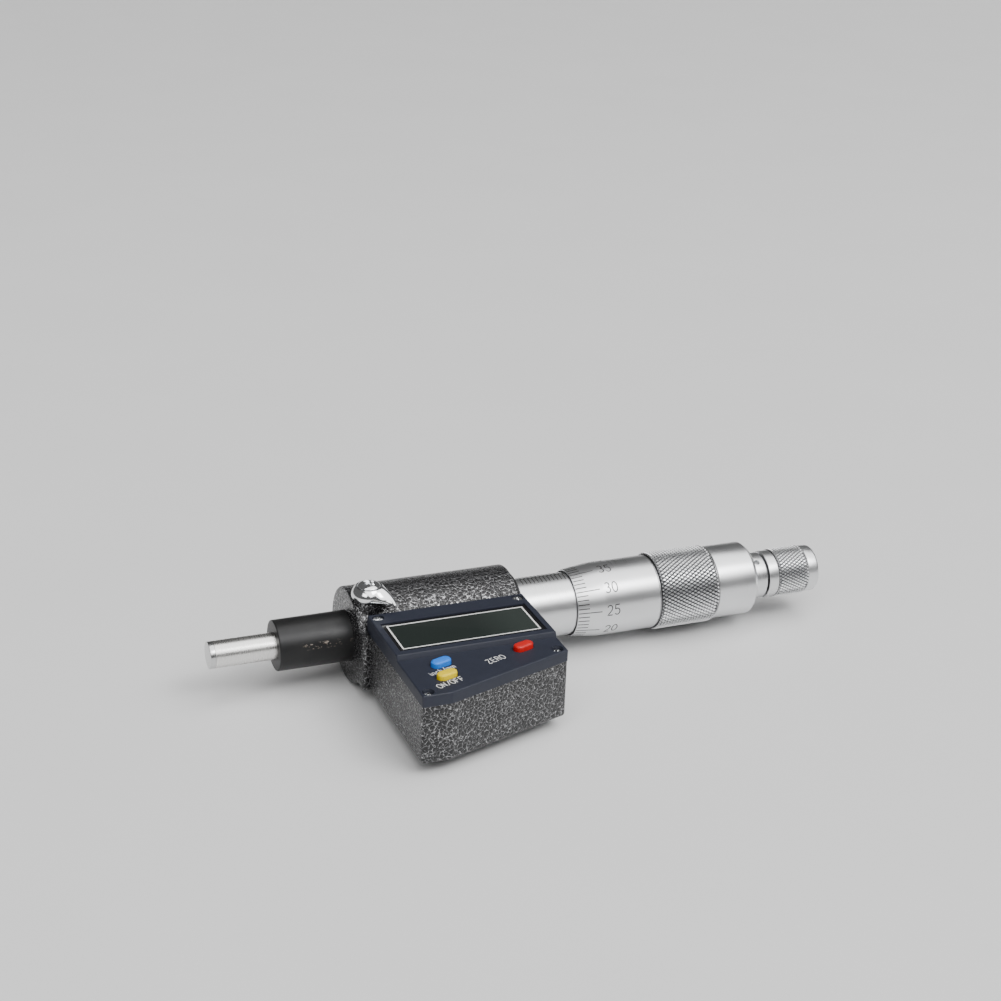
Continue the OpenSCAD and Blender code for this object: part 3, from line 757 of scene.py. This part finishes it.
def make_thimble():
    x, end = THIMBLE_LOW.x, THIMBLE_HIGH.x
    cavity_end = x + CAVITY_LEN
    bore = SLEEVE_R + 0.12
    band = x + KNURL_AT
    profile = fillet([(cavity_end, SEAT_R + 0.02), (cavity_end, bore), (x + 1.6, bore),
                      (x + 1.4, bore + 0.2), (x, bore + 0.2, 0.04),
                      (x, FRONT_R, 0.12), (x + TAPER, PLAIN_R, 1.5), (band - 0.45, PLAIN_R, 0.15),
                      (band - 0.2, PLAIN_R - 0.25), (band + KNURL_W + 0.2, PLAIN_R - 0.25),
                      (band + KNURL_W + 0.45, PLAIN_R, 0.15), (end - 1.0, PLAIN_R, 0.25),
                      (end, PLAIN_R - 0.8, 0.1), (end, PLUG_R + 0.02, 0.08),
                      (end - PLUG_LEN, PLUG_R + 0.02), (end - PLUG_LEN, SEAT_R + 0.02)])
    piece("thimble_barrel", lathe(profile, 160), "thimble", replaced=("thimble",))
    ring = knurl_ring(band, band + KNURL_W, THIMBLE_HIGH.z, diamonds=62, pitch=1.587)
    piece("thimble_knurl", ring, "thimble", knurled_chrome("knurled_chrome", THIMBLE_HIGH.z))

    def radius_at(at):
        return FRONT_R + (PLAIN_R - FRONT_R) * min(1.0, max(0.0, (at - x) / TAPER))

    marks = bmesh.new()
    on_thimble = around(radius_at)
    at_datum = READING % PITCH_MM / PITCH_MM * DIVISIONS
    for k in range(DIVISIONS):
        turn = math.radians(DATUM_DEG) + (k - at_datum) * 2 * math.pi / DIVISIONS
        reach = 6.0 if k % 5 == 0 else 2.9
        flare = [(x + 0.15 + (reach - 0.15) * i / 6) for i in range(7)]
        ribbon(marks, [(at, turn * radius_at(at)) for at in flare], 0.22, on_thimble, lift=0.016)
        if k % 5 == 0:
            lettering(marks, str(k), x + 8.95, (turn + 0.01) * PLAIN_R, 2.5, on_thimble, 0.26)
    piece("thimble_scale", marks, "thimble", ENGRAVED)


# ---- ratchet stop ----


def make_ratchet():
    x0, x1, r = THIMBLE_HIGH.x, KNOB_LOW.x - 0.5, NECK_R
    profile = fillet([(x0 - 11.5, 0), (x0 - 11.5, ROD_R), (x0 - PLUG_LEN + 0.1, ROD_R),
                      (x0 - PLUG_LEN + 0.1, PLUG_R), (x0 + 0.02, PLUG_R), (x0 + 0.02, r - 0.1, 0.05),
                      (x0 + 0.35, r, 0.1), (x0 + 0.5, r - 0.25, 0.05), (x0 + 0.65, r, 0.1), (x1, r, 0.3),
                      (x1, ROD_R), (x1 + 7.5, ROD_R), (x1 + 7.5, 1.02), (x1 + 2.5, 1.02), (x1 + 2.5, 0)])
    neck = lathe(profile, 128, closed=False)
    hole = lathe([(3.4, 0), (3.4, 0.72), (8, 0.72), (8, 0)], 32, closed=False)
    spin = Matrix.Rotation(math.radians(-60), 3, "X") @ Matrix.Rotation(-math.pi / 2, 3, "Z")
    bmesh.ops.rotate(hole, verts=hole.verts, matrix=spin)
    bmesh.ops.translate(hole, verts=hole.verts, vec=(x0 + 2.1, 0, 0))
    piece("neck", combine(neck, hole, "DIFFERENCE"), "ratchet_neck", replaced=("ratchet_neck",))
    start, end = KNOB_LOW.x, KNOB_HIGH.x
    r = KNOB_HIGH.z
    band0, band1 = start + 2.8, start + 10.9
    profile = fillet([(x1 + 4.4, 2.05), (x1 + 4.4, 4.7), (start, 4.7, 0.1), (start, r - 0.25, 0.15),
                      (band0 - 0.3, r - 0.25, 0.1), (band0, r - 0.55), (band1, r - 0.55),
                      (band1 + 0.25, r - 0.25, 0.1), (end, r - 0.3, 0.7), (end, 3.72, 0.08),
                      (x1 + 7.4, 3.72), (x1 + 7.4, 2.05)])
    piece("knob_body", lathe(profile, 128), "ratchet_knob", replaced=("ratchet_knob",))
    ring = knurl_ring(band0 - 0.1, band1 + 0.1, r, diamonds=45, pitch=1.41, depth=0.38, wall=0.9)
    piece("knob_knurl", ring, "ratchet_knob", knurled_chrome("knurled_knob_painted_shade", r))


# ---- housing ----

STEP_Y = -30.7
DECK_Z = 8.3
BOSS_R = 3.3
SPOT_FACE_R = 4.6
STEM_BORE_R = 6.02
STEM_SEAT_R = 5.2
CHAMBER_R = 8.8
DOOR_HOLE_R = 7.05
BAY_Y = -11.8
CASTING_WALL = 1.7
CASTING_FLOOR = 1.8
SCREW_SEAT_R = 1.42
KEY_GAP = 0.26
COVER_WALL = 1.4
# tops of the cutters, clear of the casting and of the cover
ABOVE_ALL = 30
ABOVE_COVER = 20


def plan(low_x, back_y):
    """Outline of the display box, seen from above."""
    return [(low_x, back_y), (low_x, COVER_LOW.y), (FRONT_CORNER_X, COVER_LOW.y),
            (COVER_HIGH.x, FRONT_RIGHT_Y), (COVER_HIGH.x, back_y)]


def make_casting():
    split = COVER_LOW.z
    length = RING_LOW.x - 0.02
    barrel = lathe(fillet([(0, 0), (0, BARREL_R, 0.7), (length, BARREL_R, 0.5), (length, 0)], 5),
                   160, closed=False)
    box_low = DOOR_LOW.z - 0.05
    box = prism(plan(COVER_LOW.x, -2.0), box_low, split, side=1.0, bottom=0.8)
    body = combine(barrel, box, "UNION")
    left = prism(rectangle(0.03, 20, -12.6, -1.0), box_low + 0.01, split, side=1.0, bottom=0.8)
    body = combine(body, left, "UNION")
    boss_top = LEVER_BASE - 0.35
    body = combine(body, prism(disc(LOCK_X, LOCK_Y, BOSS_R, 64), 6, boss_top, top=0.25), "UNION")
    door_x, door_y = (DOOR_LOW.x + DOOR_HIGH.x) / 2, (DOOR_LOW.y + DOOR_HIGH.y) / 2
    cuts = [
        lathe([(-1, 0), (-1, STEM_BORE_R), (0.3, STEM_BORE_R), (0.3, STEM_SEAT_R), (12, STEM_SEAT_R),
               (12, CHAMBER_R), (50, CHAMBER_R), (50, 0)], 128, closed=False),
        prism(plan(COVER_LOW.x - 0.05, COVER_HIGH.y + 0.05), split, ABOVE_ALL),
        prism(disc(LOCK_X, LOCK_Y, SPOT_FACE_R, 64), boss_top, ABOVE_ALL),
        prism(disc(LOCK_X, LOCK_Y, 1.6), -6, ABOVE_ALL),
        prism(disc(door_x, door_y, DOOR_HOLE_R, 96), -12, 0),
        prism(shrink(plan(COVER_LOW.x, BAY_Y), CASTING_WALL), box_low + CASTING_FLOOR, ABOVE_ALL),
    ]
    for tool in cuts:
        body = combine(body, tool, "DIFFERENCE")
    piece("painted_casting", body, "casting", replaced=("casting",))


def screw_places():
    for i in range(1, 5):
        low, high = span(f"cover_screw_{i}")
        yield (low.x + high.x) / 2, (low.y + high.y) / 2, high.z


def make_cover():
    split, face = COVER_LOW.z, COVER_HIGH.z
    low = prism(plan(COVER_LOW.x, COVER_HIGH.y), split, DECK_Z, side=0.45, top=0.3)
    step = fillet([(STEP_Y - 0.2, DECK_Z - 1.0), (STEP_Y - 0.2, DECK_Z, 0.05),
                   (STEP_Y + 0.35, face, 0.25), (COVER_HIGH.y, face, 0.35),
                   (COVER_HIGH.y, DECK_Z - 1.0)])
    raised = prism(step, COVER_LOW.x + 0.005, COVER_HIGH.x - 0.005, top=0.3, bottom=0.3)
    swap = Matrix(((0, 0, 1), (1, 0, 0), (0, 1, 0)))
    bmesh.ops.transform(raised, matrix=swap.to_4x4(), verts=raised.verts)
    body = combine(low, raised, "UNION")
    cuts = [prism(shrink(plan(COVER_LOW.x, COVER_HIGH.y), COVER_WALL), split - 1, DECK_Z - 1.5)]
    gap = 0.05
    window = rectangle(WINDOW_LOW.x - gap, WINDOW_HIGH.x + gap, WINDOW_LOW.y - gap, WINDOW_HIGH.y + gap)
    cuts.append(prism(window, 0, ABOVE_COVER))
    for name in BUTTONS:
        x, y, w, h = button_plan(name)
        cuts.append(prism(pill(x, y, w + KEY_GAP, h + KEY_GAP), 0, ABOVE_COVER))
    for x, y, top in screw_places():
        cuts.append(prism(disc(x, y, SCREW_SEAT_R), top - 0.8, ABOVE_COVER))
    for tool in cuts:
        body = combine(body, tool, "DIFFERENCE")
    piece("display_cover", body, "cover", replaced=("cover",))


def make_window():
    low, high = WINDOW_LOW, WINDOW_HIGH
    pane = prism(rectangle(low.x, high.x, low.y, high.y), low.z, high.z, side=0.3, top=0.12)
    piece("window_pane", pane, "lcd_window", replaced=("lcd_window",))
    # white border line, with a black print outside it
    outer, line = 0.95, 0.36
    frame_box = (low.x + outer, high.x - outer, low.y + outer, high.y - outer)
    for name, look, inside, outside, lift in (
            ("window_mask", PRINT_BLACK, 0.0, -outer + 0.12, 0.008),
            ("window_line", PRINT_WHITE, line, 0.0, 0.014)):
        bm = bmesh.new()
        x0, x1, y0, y1 = frame_box
        rings = []
        for d, z in ((outside, high.z - 0.02), (outside, high.z + lift), (inside, high.z + lift),
                     (inside, high.z - 0.02)):
            rings.append([(p[0], p[1], z) for p in rectangle(x0 + d, x1 - d, y0 + d, y1 - d)])
        made = loft(bm, rings, close_ends=False)
        for k in range(4):
            n = (k + 1) % 4
            bm.faces.new((made[-1][k], made[-1][n], made[0][n], made[0][k]))
        piece(name, bm, "lcd_window", look)


def button_plan(name):
    """Centre, length and width of a button where it passes the deck."""
    low, high = span(name)
    rim = 0.9
    long, short = high.x - low.x, high.y - low.y
    straight_part = (long - short) / (math.cos(FRONT_LEAN) - math.sin(FRONT_LEAN))
    height = long - straight_part * math.cos(FRONT_LEAN) - rim
    return (low.x + high.x) / 2, (low.y + high.y) / 2, height + straight_part, height


def make_button(name):
    x, y, w, h = button_plan(name)
    low, high = span(name)
    round_r = 0.75
    rings = [[(p[0], p[1], z) for p in shrink(pill(x, y, w, h, 16), d)]
             for z, d in [(low.z, -0.4), (low.z + 0.6, -0.4), (low.z + 0.62, 0.0)]
             + [(high.z - round_r * 0.72 * (1 - math.sin(a)), round_r * (1 - math.cos(a)))
                for a in (math.pi / 2 * k / 8 for k in range(8))]]
    crown = [[(p[0], p[1], high.z - 0.02 * (1 - k / 3))
              for p in shrink(pill(x, y, w, h, 16), round_r + 0.15 * k)] for k in range(1, 4)]
    bm = bmesh.new()
    loft(bm, rings + crown)
    piece(name.replace("button", "key"), bm, name, replaced=(name,))


def make_labels():
    """White printed names of the three buttons."""
    marks = bmesh.new()

    for name, text, along, behind, height, width, step in (
            ("units_button", "inch/mm", -1.6, -2.3, 1.5, 0.17, 0.76),
            ("power_button", "ON/OFF", -1.08, -2.53, 1.72, 0.18, 0.72),
            ("zero_button", "ZERO", -8.4, -0.41, 1.8, 0.18, 0.7)):
        x, y, _, _ = button_plan(name)
        middle = on_slant(x, y, along, behind)
        lettering(marks, text, 0, 0, height,
                  lambda u, v, h: (*on_slant(*middle, u, v), DECK_Z + h), width, step)
    piece("button_labels", marks, "cover", PRINT_WHITE)


# ---- clamp lever ----


def teardrop(big_r, reach, small_r):
    """Outline round a big circle at the pivot and a small one at the end of a straight tail, which
    make_lever bends.
    """
    out = []
    for k in range(120):
        a = math.radians(3 * k)
        on_tail = reach * math.cos(a) + small_r > big_r
        r, offset = (small_r, reach) if on_tail else (big_r, 0.0)
        out.append((offset + r * math.cos(a), r * math.sin(a)))
    return out


LEVER_R = 4.12
LEVER_RING_Z = 2.98
LEVER_WIDEST_Z = 1.0
LEVER_REACH = 7.6
TAIL_DEG = -38
TAIL_BEND_DEG = 4.2
DOME_R = 2.68
DOME_RISE = 0.93
DOME_BASE = 2.95


def make_lever():
    levels, count = [], 26
    for k in range(count + 1):
        z = LEVER_RING_Z * k / count
        if z < LEVER_WIDEST_Z:
            big = LEVER_R - 0.42 * ((LEVER_WIDEST_Z - z) / LEVER_WIDEST_Z) ** 2.2
        else:
            big = LEVER_R - 1.02 * ((z - LEVER_WIDEST_Z) / (LEVER_RING_Z - LEVER_WIDEST_Z)) ** 1.8
        lip = 0.5 * max(0.0, 1 - z / 0.4) ** 2
        reach = LEVER_REACH - 5.2 * (z / LEVER_RING_Z) ** 1.25 - lip
        levels.append((z, big, reach, 0.42 + 0.55 * z / LEVER_RING_Z - lip / 3))
    # dished top, in which the screw sits
    levels += [(LEVER_RING_Z, 3.0, 1.0, 0.8), (2.8, 2.94, 0.8, 0.8), (2.3, 2.92, 0.6, 0.8)]
    rings = []
    for z, big, reach, small in levels:
        ring = []
        for u, v in spread(teardrop(big, reach, small)):
            away = math.hypot(u, v)
            turn = math.radians(TAIL_DEG) - math.radians(TAIL_BEND_DEG) * max(0.0, away - 3.6)
            a = math.atan2(v, u) + turn
            ring.append((LOCK_X + away * math.cos(a), LOCK_Y + away * math.sin(a), LEVER_BASE + z))
        rings.append(ring)
    bm = bmesh.new()
    loft(bm, rings)
    piece("clamp_lever", bm, "lock_lever", replaced=("lock_lever",))
    dome = fillet([(-3.0, 0), (-3.0, 0.8), (2.6, 0.8), (2.6, DOME_R)])
    dome += [(DOME_BASE + DOME_RISE * math.sin(a), DOME_R * math.cos(a))
             for a in (math.pi / 2 * k / 14 for k in range(14))]
    dome.append((DOME_BASE + DOME_RISE, 0))
    screw = upright(lathe(dome, 96, closed=False), 0, 0, 0)
    screw = combine(screw, cross_recess(2.9, 0.66, 2.15), "DIFFERENCE")
    bmesh.ops.rotate(screw, verts=screw.verts, matrix=Matrix.Rotation(math.radians(20), 3, "Z"))
    bmesh.ops.translate(screw, verts=screw.verts, vec=(LOCK_X, LOCK_Y, LEVER_BASE))
    piece("lever_screw", screw, "lock_screw", replaced=("lock_screw",))


def spread(outline):
    """Spaces the points of a closed outline evenly, starting from its first point."""
    lengths = [0.0]
    closed = outline + outline[:1]
    for a, b in zip(closed, closed[1:]):
        lengths.append(lengths[-1] + (Vector(b) - Vector(a)).length)
    out, at, count = [], 0, 160
    for k in range(count):
        goal = lengths[-1] * k / count
        while lengths[at + 1] < goal:
            at += 1
        t = (goal - lengths[at]) / max(lengths[at + 1] - lengths[at], 1e-9)
        a, b = closed[at], closed[at + 1]
        out.append((a[0] + (b[0] - a[0]) * t, a[1] + (b[1] - a[1]) * t))
    return out


def cross_recess(bottom, half_width, half_length):
    """A cross-shaped cutter whose four arms narrow downward."""
    bm = bmesh.new()
    for turn in (0, 90):
        rings = []
        for z, size in ((bottom, 0.45), (bottom + 1.6, 1.0)):
            w, l = half_width * size, half_length * size
            corners = [(-l, -w), (l, -w), (l, w), (-l, w)]
            spin = Matrix.Rotation(math.radians(turn), 2)
            rings.append([(*(spin @ Vector(c)), z) for c in corners])
        arm = bmesh.new()
        loft(arm, rings)
        bm = combine(bm, arm, "UNION") if turn else arm
    return bm


def make_cover_screws():
    """Small cross-recess screws: two at the display's corners and two sunk in the deck."""
    for i, (x, y, top) in enumerate(screw_places(), 1):
        r = 1.28
        profile = [(top - 5.0, 0), (top - 5.0, 0.7), (top - 0.75, 0.7), (top - 0.75, r)]
        profile += [(top - 0.22 + 0.2 * math.sin(a), r * (1 - 0.45 * (1 - math.cos(a))))
                    for a in (math.pi / 2 * k / 5 for k in range(6))]
        profile.append((top, 0))
        bm = upright(lathe(profile, 48, closed=False), 0, 0, 0)
        bm = combine(bm, cross_recess(top - 0.5, 0.42, 1.25), "DIFFERENCE")
        bmesh.ops.rotate(bm, verts=bm.verts, matrix=Matrix.Rotation(math.radians(25 + 40 * i), 3, "Z"))
        bmesh.ops.translate(bm, verts=bm.verts, vec=(x, y, 0))
        node_name = f"cover_screw_{i}"
        piece(f"corner_screw_{i}", bm, node_name, replaced=(node_name,))


make_stem()
make_spindle()
make_sleeve()
make_thimble()
make_ratchet()
make_casting()
make_cover()
make_window()
for button in BUTTONS:
    make_button(button)
make_labels()
make_lever()
make_cover_screws()

# ---- floor, light and camera ----


def floor_card():
    """Pale card that keeps its brightness where the lamps no longer reach."""
    material = finish_of("floor_card", (0.74, 0.74, 0.74), 0.0, 0.7, 2.0, 0.05, 0.01)
    tree = material.node_tree
    bsdf = tree.nodes["Principled BSDF"]
    away = node(tree, "VectorMath", operation="LENGTH")
    tree.links.new(node(tree, "TexCoord").outputs["Object"], away.inputs[0])
    far = node(tree, "MapRange", interpolation_type="SMOOTHSTEP")
    for key, value in (("From Min", 0.5), ("From Max", 3.8), ("To Min", 0.0), ("To Max", 0.78)):
        far.inputs[key].default_value = value
    tree.links.new(away.outputs["Value"], far.inputs["Value"])
    seen = node(tree, "Math", operation="MULTIPLY")
    tree.links.new(far.outputs["Result"], seen.inputs[0])
    tree.links.new(node(tree, "LightPath").outputs["Is Camera Ray"], seen.inputs[1])
    bsdf.inputs["Emission Color"].default_value = (1, 1, 1, 1)
    tree.links.new(seen.outputs["Value"], bsdf.inputs["Emission Strength"])
    return material


def make_floor():
    bm = bmesh.new()
    bmesh.ops.create_grid(bm, x_segments=1, y_segments=1, size=9.0)
    mesh = bpy.data.meshes.new("floor")
    bm.to_mesh(mesh)
    bm.free()
    floor = bpy.data.objects.new("floor", mesh)
    bpy.context.scene.collection.objects.link(floor)
    floor.location.z = cad_low.z - 0.00005
    mesh.materials.append(floor_card())


def area_light(name, place, target, size, power):
    light = bpy.data.lights.new(name, "AREA")
    light.shape = "RECTANGLE"
    light.size, light.size_y = size
    light.energy = power
    obj = bpy.data.objects.new(name, light)
    bpy.context.scene.collection.objects.link(obj)
    obj.location = place
    obj.rotation_euler = (Vector(target) - Vector(place)).to_track_quat("-Z", "Y").to_euler()


def make_world():
    world = bpy.data.worlds.new("studio")
    bpy.context.scene.world = world
    world.use_nodes = True
    tree = world.node_tree
    background = tree.nodes["Background"]
    rays = tree.nodes.new("ShaderNodeLightPath")
    strength = tree.nodes.new("ShaderNodeMapRange")
    strength.inputs["To Min"].default_value = 0.12
    strength.inputs["To Max"].default_value = 0.9
    tree.links.new(rays.outputs["Is Camera Ray"], strength.inputs["Value"])
    tree.links.new(strength.outputs["Result"], background.inputs["Strength"])
    background.inputs["Color"].default_value = (1, 1, 1, 1)


def make_camera():
    """The photograph's viewing angle: yaw to the right, pitch down and a slight roll."""
    yaw, pitch, roll = (math.radians(a) for a in (22.38, 23.38, -2.05))
    ahead = Vector((math.sin(yaw) * math.cos(pitch), math.cos(yaw) * math.cos(pitch), -math.sin(pitch)))
    right = Vector((math.cos(yaw), -math.sin(yaw), 0))
    down = ahead.cross(right)
    right_rolled = right * math.cos(roll) + down * math.sin(roll)
    down_rolled = down * math.cos(roll) - right * math.sin(roll)
    lens = bpy.data.cameras.new("camera")
    lens.sensor_width = 36
    lens.lens = 74.28
    lens.clip_start = 0.01
    camera = bpy.data.objects.new("camera", lens)
    bpy.context.scene.collection.objects.link(camera)
    turn = Matrix((right_rolled, -down_rolled, -ahead)).transposed().to_4x4()
    camera.matrix_world = Matrix.Translation((-0.1312, -0.4101, 0.2211)) @ turn
    bpy.context.scene.camera = camera


make_floor()
make_world()
area_light("key", (0.55, -0.85, 2.3), (0.03, 0, 0), (4.2, 3.6), 128)
area_light("accent", (0.8, -1.25, 1.75), (0.04, 0, 0), (1.2, 0.6), 19)
area_light("side", (-1.5, -1.3, 1.5), (0.04, 0, 0), (1.2, 0.8), 12)
make_camera()

bpy.context.view_layer.update()
